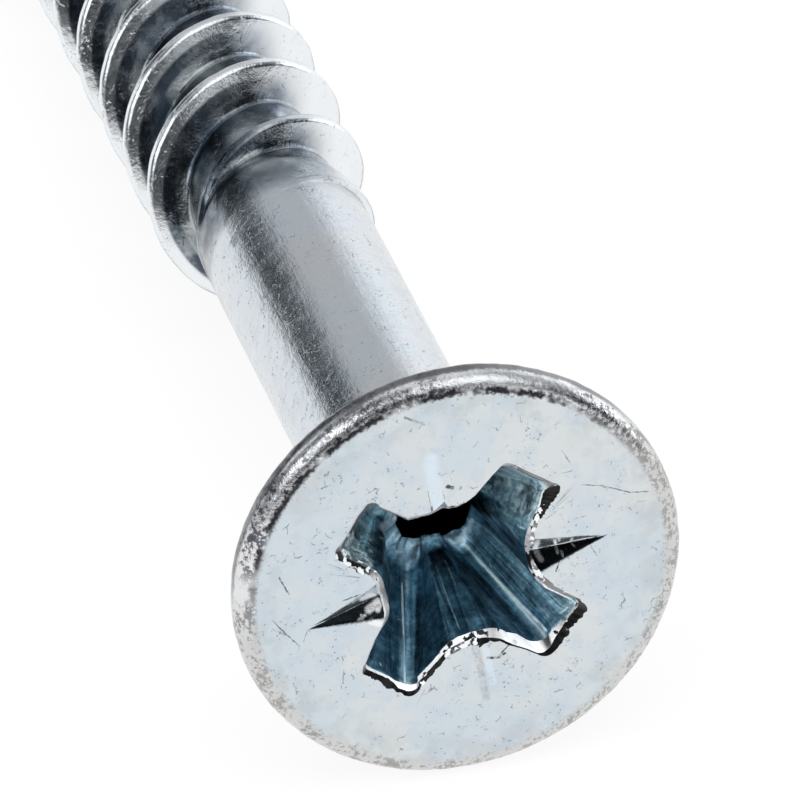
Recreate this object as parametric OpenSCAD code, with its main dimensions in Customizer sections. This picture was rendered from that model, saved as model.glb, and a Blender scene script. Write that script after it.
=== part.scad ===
// Countersunk wood screw with a cross recess and a two-start thread, lying at rest.
// The screw is drawn along +Z, from the face of its head at z = 0 to its tip, and is then laid down:
// it rests on the back edge of its head and on the last full crest of its thread.
// Millimetres. In the finished frame +Z is up and the head looks towards -Y.

/* [Screw] */
// Length from the face of the head to the tip
screw_len = 32; // [28:0.5:50]
// Diameter over the crests of the thread
thread_d = 4.1; // [3.8:0.1:4.6]
// Diameter of the smooth shank
shank_d = 3.12; // [2.9:0.02:3.3]
// Length from the face of the head to where the thread begins to rise
smooth_len = 12; // [9:0.5:14]

/* [Head] */
// Diameter of the head
head_d = 8; // [7.6:0.1:8.6]
// Rounding of the edge between the face and the rim
face_round = 0.33; // [0.2:0.01:0.36]
// Height of the rim, from the face to the middle of its back rounding
rim_h = 0.4; // [0.37:0.01:0.5]
// Rounding of the edge between the rim and the cone under the head
back_round = 0.2; // [0.1:0.01:0.25]
// Full angle of the countersunk cone
cone_angle = 90; // [80:1:100]
// Rounding between the cone and the shank
neck_round = 1; // [0.5:0.1:1.5]

/* [Drive recess] */
// Distance across the ends of two opposite wings, at the face
wing_span = 4.52; // [4.2:0.02:4.8]
// Width of a wing at the face
wing_w = 1.14; // [1:0.02:1.2]
// Depth of the wings
recess_depth = 2.4; // [1.8:0.1:2.5]
// Depth of the small cone in the floor between the wings
floor_cone = 0.4; // [0.2:0.1:0.6]
// Slope of the end of each wing, from the axis
wing_slope = 26.5; // [22:0.5:28]
// Draft of the sides of each wing
wing_draft = 2.5; // [1:0.5:5]
// Distance from the axis to the outer end of each of the four small ribs between the wings
rib_reach = 1.26; // [1.16:0.02:1.4]
// Width of a rib at the face
rib_w = 0.8; // [0.5:0.05:0.9]
// Slope of the outer end of a rib, from the axis
rib_slope = 11.5; // [10:0.5:15]
// Draft of the sides of a rib
rib_draft = 6.5; // [2:0.5:7]
// Width of the worn chamfer round the mouth of the recess
lip_w = 0.18; // [0.05:0.01:0.25]
// Angle by which the recess is turned about the axis
recess_turn = 35.6; // [0:0.2:89]

/* [Tick marks] */
// Distance from the axis to the tip of a tick mark
tick_reach = 2.74; // [2.4:0.02:3]
// Width of the left and right tick marks where they leave the recess
tick_w = 0.76; // [0.4:0.02:0.8]
// Depth of the left and right tick marks where they leave the recess
tick_depth = 0.22; // [0.14:0.02:0.24]
// Section of the upper and lower tick marks, as a share of the section of the other two
faint_share = 0.4; // [0.4:0.1:1]

/* [Thread] */
// Diameter of the core between the threads
core_d = 2.7; // [2.4:0.05:2.9]
// Distance from one crest to the next along the screw
crest_gap = 1.85; // [1.6:0.05:2.2]
// Number of starts
starts = 2; // [1:1:3]
// Width of the crest
crest_w = 0.16; // [0.06:0.01:0.2]
// Slope of each flank of the thread, from the plane across the screw
flank_angle = 20; // [15:1:30]
// Length over which the thread rises out of the shank to its full height
run_out = 2.7; // [1.5:0.1:4]
// Distance by which each further start begins nearer to the head
start_stagger = 0.7; // [0:0.1:1]
// Angle of the first start where the smooth shank ends
thread_turn = 133; // [0:1:359]
// Length of the point, where the thread grows smaller
point_len = 5.4; // [4:0.1:6]
// Diameter of the blunt end of the tip
tip_d = 0.16; // [0.1:0.02:0.3]

/* [Hidden] */
// Facets of a round surface, and of one turn of the thread
$fn = 96;
turn_steps = 36;
// How far a cutting or joining shape reaches past the surface that it meets
over = 0.3;
// Depth of the crest below the skin at the two ends of the thread, so that it rises and sinks smoothly
crest_sunk = 0.04;
// Least share of the core's radius at which the thread is rooted near the tip
root_share = 0.3;
// Length of the tip without thread, as a share of the point
bare_share = 0.1;
head_r = head_d / 2;
shank_r = shank_d / 2;
thread_r = thread_d / 2;
core_r = core_d / 2;
tip_r = tip_d / 2;
half_cone = cone_angle / 2;
lead = crest_gap * starts;
steel = [0.82, 0.85, 0.88];

// Centres of the two roundings of the rim, as [radius, height]
face_c = [head_r - face_round, face_round];
back_c = [head_r - back_round, rim_h];
// Where the back rounding meets the cone
cone_top = back_c + back_round * [cos(half_cone), sin(half_cone)];
// The neck rounding touches both the cone and the shank
cone_foot_z = cone_top[1] + (cone_top[0] - shank_r) / tan(half_cone);
neck_c = [shank_r + neck_round, cone_foot_z + neck_round * tan(half_cone / 2)];
neck_top = neck_c - neck_round * [cos(half_cone), sin(half_cone)];

// Half the width of a wing at its floor
floor_r = wing_w / 2 - recess_depth * tan(wing_draft);

// The core narrows from the shank while the thread rises, and again along the point
core_start = smooth_len + run_out / 6;
core_full = smooth_len + run_out / 2;
point_start = screw_len - point_len;

// The last full crest on the underside, which is the side at 90 degrees, carries the screw
first_low = smooth_len + lead * (90 - thread_turn) / 360;
last_low = first_low + crest_gap * floor((point_start - first_low) / crest_gap);
foot = [thread_r, last_low + crest_w / 2];
// The lean of the axis at which the back of the head and that crest both touch the surface
foot_run = norm(foot - back_c);
rest_lean = atan((back_c[0] - foot[0]) / (foot[1] - back_c[1])) + asin(back_round / foot_run);
// Height of the centre of the face above the surface, and the ends of the screw along Y
face_up = foot[0] * cos(rest_lean) + foot[1] * sin(rest_lean);
front_y = face_c[1] * cos(rest_lean) - face_c[0] * sin(rest_lean) - face_round;
rear_y = screw_len * cos(rest_lean) + tip_r * sin(rest_lean);

// Radius of the solid core at a height along the screw
function core_at(z) =
    z < core_start ? shank_r :
    z < core_full ? shank_r + (core_r - shank_r) * (z - core_start) / (core_full - core_start) :
    z < point_start ? core_r :
    core_r + (tip_r - core_r) * (z - point_start) / point_len;

// A smooth step from 0 to 1
function ease(x) = let (c = min(1, max(0, x))) c * c * (3 - 2 * c);

// Radius of the crest of a start that begins at rise_z: it rises from the shank and sinks into the point
function crest_at(z, rise_z) =
    let (t = max(0, (z - point_start) / point_len))
    t > 0 ? core_at(z) + (thread_r - core_r) * (1 - t) - crest_sunk * ease(2 * t - 1) :
    shank_r - crest_sunk + (thread_r - shank_r + crest_sunk) * ease((z - rise_z) / run_out);

// The section of the thread at a turn, as four corners from the head side to the tip side
function section(turn, first_turn, rise_z) =
    let (
        z = smooth_len + lead * (turn - first_turn) / 360,
        crest = crest_at(z, rise_z),
        sunk = max(root_share * core_at(z), core_at(z) - over),
        half_crest = crest_w / 2 * min(1, crest / core_r),
        half_root = half_crest + (crest - sunk) * tan(flank_angle)
    )
    [for (p = [[sunk, -half_root], [crest, -half_crest], [crest, half_crest], [sunk, half_root]])
        [p[0] * cos(turn), p[0] * sin(turn), z + p[1]]];

// One start of the thread, swept round the screw from the height rise_z to near the tip.
// It passes the end of the smooth shank at the angle first_turn.
module thread_start(first_turn, rise_z) {
    end_z = screw_len - bare_share * point_len;
    early = ceil((smooth_len - rise_z) / lead * turn_steps);
    steps = early + floor((end_z - smooth_len) / lead * turn_steps);
    rings = [for (k = [0 : steps]) section(first_turn + (k - early) * 360 / turn_steps, first_turn, rise_z)];
    points = [for (ring = rings) each ring];
    sides = [for (k = [0 : steps - 1]) for (j = [0 : 3])
        let (a = 4 * k + j, b = 4 * k + (j + 1) % 4)
        each [[a, b, b + 4], [a, b + 4, a + 4]]];
    last = 4 * steps;
    caps = [[0, 3, 2], [0, 2, 1], [last, last + 1, last + 2], [last, last + 2, last + 3]];
    polyhedron(points = points, faces = concat(sides, caps));
}

// The core between the threads, with the point
module core() {
    rotate_extrude()
        polygon([
            [0, core_start - over],
            [shank_r, core_start - over],
            [shank_r, core_start],
            [core_r, core_full],
            [core_r, point_start],
            [tip_r, screw_len],
            [0, screw_len],
        ]);
}

// Half section of the head and the smooth shank, with round edges
module head_section() {
    difference() {
        union() {
            polygon([
                [0, 0],
                [face_c[0], 0],
                [head_r, face_c[1]],
                [head_r, back_c[1]],
                cone_top,
                neck_top,
                [shank_r, neck_c[1]],
                [shank_r, core_start],
                [0, core_start],
            ]);
            translate(face_c)
                circle(r = face_round);
            translate(back_c)
                circle(r = back_round);
        }
        translate(neck_c)
            circle(r = neck_round);
    }
}

// A tapered slot from the axis outwards: its end and its two sides lean inwards with depth
module slot_cut(reach, width, depth, end_slope, draft) {
    out = over * tan(end_slope);
    side = over * tan(draft);
    intersection() {
        rotate([90, 0, 0])
            linear_extrude(height = 2 * width + 4 * over, center = true)
                polygon([
                    [0, -over],
                    [reach + out, -over],
                    [reach - depth * tan(end_slope), depth],
                    [0, depth],
                ]);
        rotate([90, 0, 90])
            linear_extrude(height = reach + over)
                polygon([
                    [-width / 2 - side, -over],
                    [width / 2 + side, -over],
                    [width / 2 - depth * tan(draft), depth],
                    [depth * tan(draft) - width / 2, depth],
                ]);
    }
}

// One tick mark: a V groove that grows narrower and shallower outwards, with a share of the full section
module tick_cut(share) {
    inner = rib_reach - over;
    run = tick_reach - inner;
    inner_share = share * run / (tick_reach - rib_reach);
    depth = tick_depth * inner_share;
    grow = 1 + over / depth;
    half = tick_w / 2 * inner_share * grow;
    polyhedron(
        points = [
            [inner, -half, -over],
            [inner, half, -over],
            [inner, 0, depth],
            [inner + run * grow, 0, -over],
        ],
        faces = [[0, 1, 2], [0, 3, 1], [1, 3, 2], [0, 2, 3]]
    );
}

// A slot with a chamfer of the width of the lip round its mouth
module lipped_slot(reach, width, end_slope, draft) {
    slot_cut(reach, width, recess_depth, end_slope, draft);
    slot_cut(reach + lip_w, width + 2 * lip_w, lip_w, 45, 45);
}

// The cross recess: four wings, four small ribs between them, a conical floor and four tick marks
module drive_recess() {
    for (k = [0 : 3])
        rotate([0, 0, recess_turn + 90 * k]) {
            lipped_slot(wing_span / 2, wing_w, wing_slope, wing_draft);
            rotate([0, 0, 45]) {
                lipped_slot(rib_reach, rib_w, rib_slope, rib_draft);
                tick_cut(k % 2 == 0 ? faint_share : 1);
            }
        }
    translate([0, 0, recess_depth - over])
        cylinder(h = over, r = floor_r);
    translate([0, 0, recess_depth])
        cylinder(h = floor_cone, r1 = floor_r, r2 = 0);
}

// The whole screw, drawn along +Z
module upright_screw() {
    difference() {
        union() {
            rotate_extrude()
                head_section();
            core();
            for (k = [0 : starts - 1])
                thread_start(thread_turn + k * 360 / starts, smooth_len - k * start_stagger);
        }
        drive_recess();
    }
}

// The screw laid down on its head and its thread, with the middle of its length at y = 0
module screw() {
    color(steel)
        translate([0, -(front_y + rear_y) / 2, face_up])
            rotate([-90 - rest_lean, 0, 0])
                upright_screw();
}

screw();
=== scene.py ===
import math
import bmesh
import bpy
import numpy as np
from mathutils import Matrix


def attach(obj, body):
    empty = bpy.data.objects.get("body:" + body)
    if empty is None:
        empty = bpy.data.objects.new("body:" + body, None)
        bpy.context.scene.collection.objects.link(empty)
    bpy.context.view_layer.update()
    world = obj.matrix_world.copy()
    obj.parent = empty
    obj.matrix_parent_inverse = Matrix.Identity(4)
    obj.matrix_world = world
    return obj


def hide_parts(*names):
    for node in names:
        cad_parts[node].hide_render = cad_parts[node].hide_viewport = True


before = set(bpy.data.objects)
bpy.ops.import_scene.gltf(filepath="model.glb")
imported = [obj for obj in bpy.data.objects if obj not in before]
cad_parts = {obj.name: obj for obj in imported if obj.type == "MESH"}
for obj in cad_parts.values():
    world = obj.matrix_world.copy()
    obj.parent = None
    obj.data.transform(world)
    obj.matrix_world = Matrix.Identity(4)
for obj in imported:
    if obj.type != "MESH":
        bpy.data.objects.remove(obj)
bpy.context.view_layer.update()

scene = bpy.context.scene

# Sizes in millimetres, the same as in the CAD source. s is the distance from the face of the head.
MM = 0.001
LENGTH = 32.0
HEAD_R = 4.0
FACE_ROUND = 0.33
RIM_S = 0.4
BACK_ROUND = 0.2
SHANK_R = 1.56
NECK_ROUND = 1.0
JOIN_S = 3.4
THREAD_S = 11.0
CREST_R = 2.05
CORE_R = 1.35
CREST_GAP = 1.85
CREST_HALF = 0.08
FLANK = math.tan(math.radians(20))
RISE_S = 12.0
RUN_OUT = 2.7
STAGGER = 0.7
POINT_S = 26.6
TIP_R = 0.08
RECESS_TURN = math.radians(35.6)
WING_REACH = 2.26
WING_HALF = 0.57
WING_SLOPE = math.tan(math.radians(26.5))
WING_DRAFT = math.tan(math.radians(2.5))
RIB_REACH = 1.26
RIB_SLOPE = math.tan(math.radians(11.5))

# The screw lies on the back edge of its head and on the last full crest of its thread
FOOT_S = 26.358 + CREST_HALF
LEAN = (math.atan((HEAD_R - BACK_ROUND - CREST_R) / (FOOT_S - RIM_S))
        + math.asin(BACK_ROUND / math.hypot(HEAD_R - BACK_ROUND - CREST_R, FOOT_S - RIM_S)))
AXIS = np.array([0.0, math.cos(LEAN), -math.sin(LEAN)])
RIGHT = np.array([1.0, 0.0, 0.0])
UP = np.array([0.0, math.sin(LEAN), math.cos(LEAN)])
FACE_UP = CREST_R * math.cos(LEAN) + FOOT_S * math.sin(LEAN)
FRONT_Y = FACE_ROUND * math.cos(LEAN) - (HEAD_R - FACE_ROUND) * math.sin(LEAN) - FACE_ROUND
REAR_Y = LENGTH * math.cos(LEAN) + TIP_R * math.sin(LEAN)
FACE = np.array([0.0, -(FRONT_Y + REAR_Y) / 2, FACE_UP])


# Noise that is the same in each run

def hashed(ix, iy, iz, seed):
    """A number between 0 and 1 that looks random, for every cell of a grid."""
    h = (ix.astype(np.int64) * 374761393 + iy.astype(np.int64) * 668265263
         + iz.astype(np.int64) * 2147483647 + seed * 1274126177) & 0xFFFFFFFF
    h = ((h ^ (h >> 13)) * 1103515245) & 0xFFFFFFFF
    h = ((h ^ (h >> 15)) * 668265263) & 0xFFFFFFFF
    return ((h ^ (h >> 16)) & 0xFFFFFF) / float(0xFFFFFF)


def noise(x, y, z, seed):
    """Smooth value noise between 0 and 1."""
    x, y, z = np.broadcast_arrays(x, y, z)
    fx, fy, fz = np.floor(x), np.floor(y), np.floor(z)
    tx, ty, tz = ease(x - fx), ease(y - fy), ease(z - fz)
    total = 0.0
    for dx in (0, 1):
        wx = tx if dx else 1 - tx
        for dy in (0, 1):
            wy = ty if dy else 1 - ty
            for dz in (0, 1):
                wz = tz if dz else 1 - tz
                total = total + wx * wy * wz * hashed(fx + dx, fy + dy, fz + dz, seed)
    return total


def wave(x, y, seed):
    """Noise between -0.5 and 0.5 on a plane."""
    return noise(x, y, 0, seed) - 0.5


def ease(x):
    """From 0 to 1 with soft ends, as x goes from 0 to 1."""
    c = np.clip(x, 0.0, 1.0)
    return c * c * (3 - 2 * c)


def place(right, up, s):
    """World positions in metres of points given across and along the screw."""
    p = FACE + np.multiply.outer(right, RIGHT) + np.multiply.outer(up, UP) + np.multiply.outer(s, AXIS)
    return p.reshape(-1, 3) * MM


def vectors(*parts):
    """One vector a point, from three grids of numbers."""
    return np.stack([np.ravel(part) for part in parts], 1)


def grid_faces(rows, cols, wrap):
    """Quads between the rows of a grid, closed round if wrap is set."""
    n = cols if wrap else cols - 1
    k, i = np.meshgrid(np.arange(rows - 1), np.arange(n), indexing="ij")
    j = (i + 1) % cols
    return np.stack([k * cols + i, (k + 1) * cols + i, (k + 1) * cols + j, k * cols + j], -1).reshape(-1, 4)


def add_object(name, data):
    """A new object of the scene that shows the given data."""
    thing = bpy.data.objects.new(name, data)
    scene.collection.objects.link(thing)
    return thing


def add_mesh(name, points, faces, values):
    """A smooth mesh whose points hold the given vectors for its materials."""
    mesh = bpy.data.meshes.new(name)
    mesh.from_pydata(points.tolist(), [], [list(f) for f in faces])
    for key, data in values.items():
        layer = mesh.attributes.new(key, "FLOAT_VECTOR", "POINT").data
        layer.foreach_set("vector", data.astype(np.float32).ravel())
    mesh.update()
    mesh.shade_smooth()
    return add_object(name, mesh)


def merge(piece, distance=2e-8):
    """Joins points that fall together and drops faces without area."""
    work = bmesh.new()
    work.from_mesh(piece.data)
    bmesh.ops.remove_doubles(work, verts=work.verts, dist=distance)
    bmesh.ops.dissolve_degenerate(work, edges=work.edges, dist=1e-9)
    work.to_mesh(piece.data)
    work.free()
    piece.data.update()


# The head: its recess, face, rim and the cone under it, in one mesh

N_END, N_FILLET, N_FLANK, N_CORNER, N_RIB = 13, 8, 34, 20, 13
EIGHTH = N_END + N_FILLET + N_FLANK + N_CORNER + N_RIB
COLS = EIGHTH * 8
WALL_STEP = 0.1
LEDGE_S = 2.3
HOLE_S = 2.52
HOLE_FLOOR = 3.1
FACE_RING = 3.25

# Columns of points run round the recess, COLS of them, from the middle of one wing's end.
# The worn edge of the recess: column, then how far its outer, middle and inner lines stand out from the
# wall, with the depth of the last two behind each, and how ragged it is
LIPS = [
    (0, 0.125, 0.02, 0.07, 0.0, 0.11, 1.0), (8, 0.14, 0.02, 0.07, 0.01, 0.09, 1.6),
    (11, 0.15, 0.02, 0.07, 0.01, 0.09, 2.2), (14, 0.11, 0.02, 0.06, 0.01, 0.09, 1.6),
    (17, 0.03, 0.0, 0.05, -0.01, 0.08, 0.6), (22, 0.02, -0.05, 0.04, -0.09, 0.07, 0.3),
    (50, 0.03, -0.05, 0.04, -0.09, 0.07, 0.3), (55, 0.07, -0.03, 0.05, -0.06, 0.09, 0.5),
    (66.1, 0.08, 0.0, 0.06, -0.03, 0.1, 0.5), (76.1, 0.07, 0.02, 0.05, -0.02, 0.12, 0.8),
    (88, 0.08, 0.03, 0.05, -0.02, 0.12, 1.0), (98.8, 0.1, 0.04, 0.05, -0.02, 0.12, 1.0),
    (107.7, 0.12, 0.06, 0.05, 0.0, 0.1, 0.8), (118.8, 0.06, 0.02, 0.04, -0.02, 0.07, 0.8),
    (124, 0.02, -0.03, 0.045, -0.04, 0.07, 0.9), (128, 0.05, -0.04, 0.06, -0.05, 0.08, 1.0),
    (138, 0.07, -0.06, 0.08, -0.07, 0.1, 1.0), (146, 0.06, -0.09, 0.11, -0.1, 0.13, 0.8),
    (155, 0.05, -0.13, 0.14, -0.14, 0.16, 0.8), (160, 0.09, -0.12, 0.13, -0.13, 0.15, 0.8),
    (165, 0.04, 0.0, 0.04, -0.01, 0.08, 0.3), (176, 0.035, -0.01, 0.04, -0.02, 0.1, 0.3),
    (190, 0.03, 0.0, 0.04, -0.01, 0.12, 0.3), (196, 0.06, 0.04, 0.05, 0.02, 0.16, 0.3),
    (210, 0.1, 0.08, 0.05, 0.02, 0.18, 0.3), (224, 0.13, 0.1, 0.05, 0.04, 0.18, 0.3),
    (233.2, 0.15, 0.12, 0.04, 0.05, 0.25, 0.5), (251, 0.22, 0.18, 0.05, 0.05, 0.3, 0.9),
    (257.5, 0.26, 0.21, 0.06, 0.05, 0.32, 1.0), (260.8, 0.32, 0.26, 0.08, 0.06, 0.35, 0.8),
    (264, 0.38, 0.3, 0.1, 0.06, 0.4, 0.5), (270.5, 0.38, 0.31, 0.08, 0.06, 0.35, 0.5),
    (277, 0.34, 0.29, 0.06, 0.06, 0.3, 0.4), (281.4, 0.24, 0.2, 0.05, 0.05, 0.28, 0.4),
    (288.1, 0.16, 0.12, 0.05, 0.04, 0.25, 0.4), (294.8, 0.09, 0.06, 0.04, 0.0, 0.14, 0.3),
    (299, 0.03, -0.01, 0.03, -0.05, 0.09, 0.3), (331, 0.02, -0.03, 0.03, -0.07, 0.09, 0.3),
    (338, 0.14, 0.1, 0.04, 0.04, 0.12, 0.3), (346, 0.15, 0.11, 0.04, 0.04, 0.14, 0.3),
    (354, 0.12, 0.08, 0.05, 0.03, 0.15, 0.3), (364, 0.09, 0.05, 0.06, 0.01, 0.16, 0.6),
    (369, 0.11, 0.02, 0.08, -0.01, 0.18, 1.2), (390, 0.12, 0.02, 0.09, 0.0, 0.17, 1.4),
    (407, 0.11, 0.03, 0.08, 0.0, 0.1, 1.2), (415.9, 0.15, 0.1, 0.05, 0.04, 0.1, 0.5),
    (424.8, 0.19, 0.15, 0.05, 0.08, 0.14, 0.5), (433.5, 0.16, 0.13, 0.04, 0.07, 0.12, 0.5),
    (440, 0.14, 0.11, 0.04, 0.06, 0.1, 0.5), (453, 0.15, 0.13, 0.04, 0.07, 0.12, 0.3),
    (470.8, 0.15, 0.13, 0.04, 0.07, 0.15, 0.3), (482, 0.13, 0.11, 0.04, 0.07, 0.15, 0.3),
    (500, 0.06, 0.04, 0.03, 0.02, 0.1, 0.3), (508, 0.02, 0.0, 0.03, 0.0, 0.06, 0.5),
    (514, 0.12, 0.02, 0.05, 0.0, 0.07, 1.4), (528, 0.145, 0.02, 0.05, 0.0, 0.08, 1.2),
    (532, 0.14, 0.05, 0.05, 0.03, 0.09, 1.2), (536, 0.135, 0.1, 0.05, 0.06, 0.13, 1.2),
    (541, 0.12, 0.08, 0.05, 0.04, 0.13, 1.1), (546, 0.07, 0.03, 0.05, 0.0, 0.11, 0.8),
    (551, 0.03, -0.06, 0.03, -0.09, 0.1, 0.8), (575, 0.09, 0.0, 0.03, -0.02, 0.09, 0.8),
    (587.4, 0.12, 0.03, 0.04, 0.0, 0.12, 0.8), (603, 0.15, 0.05, 0.05, 0.0, 0.14, 1.0),
    (616, 0.15, 0.05, 0.06, 0.0, 0.16, 1.6), (629, 0.18, 0.09, 0.05, 0.02, 0.16, 1.3),
    (646.8, 0.16, 0.13, 0.03, 0.03, 0.18, 0.6), (652, 0.145, 0.125, 0.014, 0.05, 0.2, 0.4),
    (670, 0.1, 0.085, 0.014, 0.02, 0.26, 0.4), (682, 0.09, 0.075, 0.014, 0.03, 0.25, 0.4),
    (688, 0.11, 0.05, 0.05, 0.04, 0.22, 0.6), (691, 0.12, 0.04, 0.05, 0.04, 0.2, 0.6),
    (697, 0.12, 0.03, 0.07, 0.0, 0.17, 0.8)]

# Painted reflection on the worn edge, dark or white: column, its outer part, its steep inner part, and the
# share of chips
EDGES = [
    (0, 0.03, 0.5, 0.02), (12, 0.03, 0.45, 0.05), (16, 0.1, 0.6, 0.1), (21, 0.28, 0.9, 0.0),
    (52, 0.28, 1.0, 0.05), (61.7, 0.2, 0.6, 0.25), (76.1, 0.5, 0.7, 0.5), (98.8, 0.6, 0.7, 0.5),
    (105.4, 0.3, 0.35, 0.35), (118.8, 0.3, 0.7, 0.2), (124, 0.03, 0.9, 0.25), (136, 0.03, 1.0, 0.2),
    (142, 0.03, 1.0, 0.04), (156, 0.03, 1.0, 0.06), (161, 0.03, 0.8, 0.05), (164, 0.35, 0.4, 0.0),
    (168, 0.3, 0.3, 0.0), (187, 0.3, 0.3, 0.0), (194, 0.7, 0.6, 0.0), (230, 0.8, 0.8, 0.0),
    (242.1, 0.1, 0.5, 0.35), (258.6, 0.05, 0.3, 0.5), (261.8, 0.8, 0.6, 0.1), (277, 0.8, 0.6, 0.1),
    (294.8, 0.8, 0.5, 0.0), (302, 0.7, 0.35, 0.0), (330, 0.75, 0.35, 0.0), (342, 0.85, 0.3, 0.0),
    (362, 0.8, 0.25, 0.05), (368, 0.04, 0.3, 0.3), (404, 0.04, 0.3, 0.3), (413.7, 0.7, 0.4, 0.1),
    (453, 0.75, 0.45, 0.1), (506, 0.8, 0.5, 0.0), (511, 0.3, 0.7, 0.0), (514, 0.03, 0.9, 0.02),
    (530, 0.03, 1.0, 0.02), (534, 0.03, 1.25, 0.0), (544, 0.03, 1.2, 0.0), (547, 0.04, 0.5, 0.2),
    (552, 0.04, 0.9, 0.3), (585.2, 0.04, 0.95, 0.35), (598.6, 0.3, 1.0, 0.4), (607.3, 0.3, 1.0, 0.4),
    (610.6, 0.04, 0.9, 0.4), (626.8, 0.03, 0.8, 0.35), (637.9, 0.03, 0.5, 0.1), (649, 0.04, 1.2, 0.0),
    (686, 0.04, 1.25, 0.0), (689, 0.03, 0.15, 0.0), (691, 0.03, 0.15, 0.0), (693, 0.03, 1.0, 0.02),
    (700, 0.03, 0.8, 0.1)]

# Painted shade and reflection on the walls, how light they are: column, then near the mouth and near the
# bottom
TONES = [
    (0, 0.62, 0.3), (13, 0.95, 0.3), (20, 0.78, 0.27), (66.1, 0.58, 0.3), (88, 0.75, 0.4), (112.1, 1.0, 0.5),
    (135, 1.6, 1.1), (155, 1.8, 1.2), (163, 1.7, 1.1), (176, 1.6, 1.0), (264, 1.0, 0.5), (330, 1.9, 1.0),
    (352, 2.3, 1.3), (369, 2.4, 1.3), (385, 2.0, 1.0), (405, 1.1, 0.4), (427, 0.5, 0.3), (440, 0.44, 0.3),
    (500, 0.6, 0.36), (515, 0.65, 0.4), (540, 0.7, 0.48), (543, 0.36, 0.4), (560, 0.38, 0.4),
    (583, 0.5, 0.34), (607.3, 0.42, 0.36), (616, 0.4, 0.4), (629, 0.42, 0.32), (660, 0.52, 0.3),
    (680, 0.55, 0.32), (688, 0.42, 0.32), (692, 0.6, 0.34)]

# Painted highlights along the lines where two walls meet: column and strength
CREASES = [(690, 0.8), (541, 0.8), (163, 0.6), (365, 0.5), (13, 0.3), (515, 0.3)]

# The edge of the hole at the bottom, painted black as shade, softened over some columns: angle in degrees and
# radius
HOLE = [(0, 0.86), (20, 0.8), (54, 0.9), (99, 0.6), (144, 0.62), (174, 0.47), (200, 0.52), (223, 0.64),
        (244, 0.7), (271, 0.58), (296, 0.66), (314, 0.88), (324, 0.9), (344, 0.84)]
HOLE_SOFT = 41

# Painted light and shade on the ledge round the hole, how light it is: angle in degrees and tone
LEDGE = [(0, 0.8), (20, 0.7), (60, 0.5), (160, 0.9), (185, 1.0), (222, 0.9), (238, 0.5), (300, 0.7),
         (330, 0.8)]

# The four tick marks: start, end, half width at the start and end, depth at the start and end, roundness
TICKS = [((1.184, 0.196), (2.664, 0.441), 0.42, 0.0, 0.235, 0.0, 0.0),
         ((-1.19, -0.157), (-2.77, -0.56), 0.44, 0.0, 0.26, 0.0, 0.0),
         ((-0.37, 1.3), (-0.49, 3.1), 0.12, 0.17, 0.045, 0.0, 1.0),
         ((0.17, -1.25), (0.44, -2.7), 0.07, 0.11, 0.04, 0.0, 1.0)]


def by_column(table, k):
    """A value of a table whose first entries are columns, at every column."""
    return round_about(np.arange(COLS), table, k, COLS)


def round_about(x, table, k, period):
    return np.interp(x, [row[0] for row in table], [row[k] for row in table], period=period)


def eighth(reach, half, fillet, rib, corner):
    """Outline of the recess from the middle of a wing's end to the middle of the next rib."""
    g = rib / math.sqrt(2)
    e = min(corner * math.tan(math.pi / 8), 0.98 * math.sqrt(2) * (g - half))
    r = e / math.tan(math.pi / 8)
    edge = 2 * g - half
    out = []
    for t in np.arange(N_END) / N_END:
        out.append((reach, (half - fillet) * t))
    for t in np.arange(N_FILLET) / N_FILLET:
        a = t * math.pi / 2
        out.append((reach - fillet + fillet * math.cos(a), half - fillet + fillet * math.sin(a)))
    for t in np.arange(N_FLANK) / N_FLANK:
        out.append((reach - fillet + (edge + e - reach + fillet) * t, half))
    for t in np.arange(N_CORNER) / N_CORNER:
        a = -math.pi / 2 - t * math.pi / 4
        out.append((edge + e + r * math.cos(a), half + r + r * math.sin(a)))
    start = np.array([edge - e / math.sqrt(2), half + e / math.sqrt(2)])
    for t in np.arange(N_RIB + 1) / N_RIB:
        out.append(tuple(start + (np.array([g, g]) - start) * t))
    return np.array(out)


def outline(reach, half, fillet, rib, corner):
    """The whole closed outline, turned to its place on the face, as points right and up."""
    part = eighth(reach, half, fillet, rib, corner)
    quarter = np.concatenate([part[:-1], part[::-1, ::-1][:-1]])
    turns = []
    for k in range(4):
        a = k * math.pi / 2 - RECESS_TURN
        c, s = math.cos(a), math.sin(a)
        turns.append(quarter @ np.array([[c, s], [-s, c]]))
    return np.concatenate(turns)


def wall_at(depth, out=0.0):
    """Outline of the recess at a depth, or that far outside it."""
    half = WING_HALF - WING_DRAFT * depth + out
    reach = WING_REACH - WING_SLOPE * depth + out
    rib = RIB_REACH - RIB_SLOPE * depth + out
    corner = 0.3 + 0.42 * math.exp(-depth / 0.35)
    fillet = 0.12 + 0.14 * ease(depth / 0.3)
    return outline(reach, half, fillet + max(out, 0.0), rib, corner)


def groove_depth(right, up):
    """Depth of the four tick marks at points of the face."""
    deep = np.zeros_like(right)
    for start, end, half_0, half_1, deep_0, deep_1, round_off in TICKS:
        a, b = np.array(start), np.array(end)
        length = np.linalg.norm(b - a)
        d = (b - a) / length
        along = ((right - a[0]) * d[0] + (up - a[1]) * d[1]) / length
        across = -(right - a[0]) * d[1] + (up - a[1]) * d[0]
        across = across + 0.02 * wave(along * 7, across * 3, 31)
        t = np.clip(along, -0.25, 1.0)
        half = np.maximum(half_0 + (half_1 - half_0) * t, 1e-4)
        share = np.clip(1 - np.abs(across) / half, 0, 1)
        share = share * (1 - round_off) + ease(share) * round_off
        groove = (deep_0 + (deep_1 - deep_0) * t) * share
        deep = np.where((along > -0.25) & (along < 1), np.maximum(deep, groove), deep)
    return deep


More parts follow.
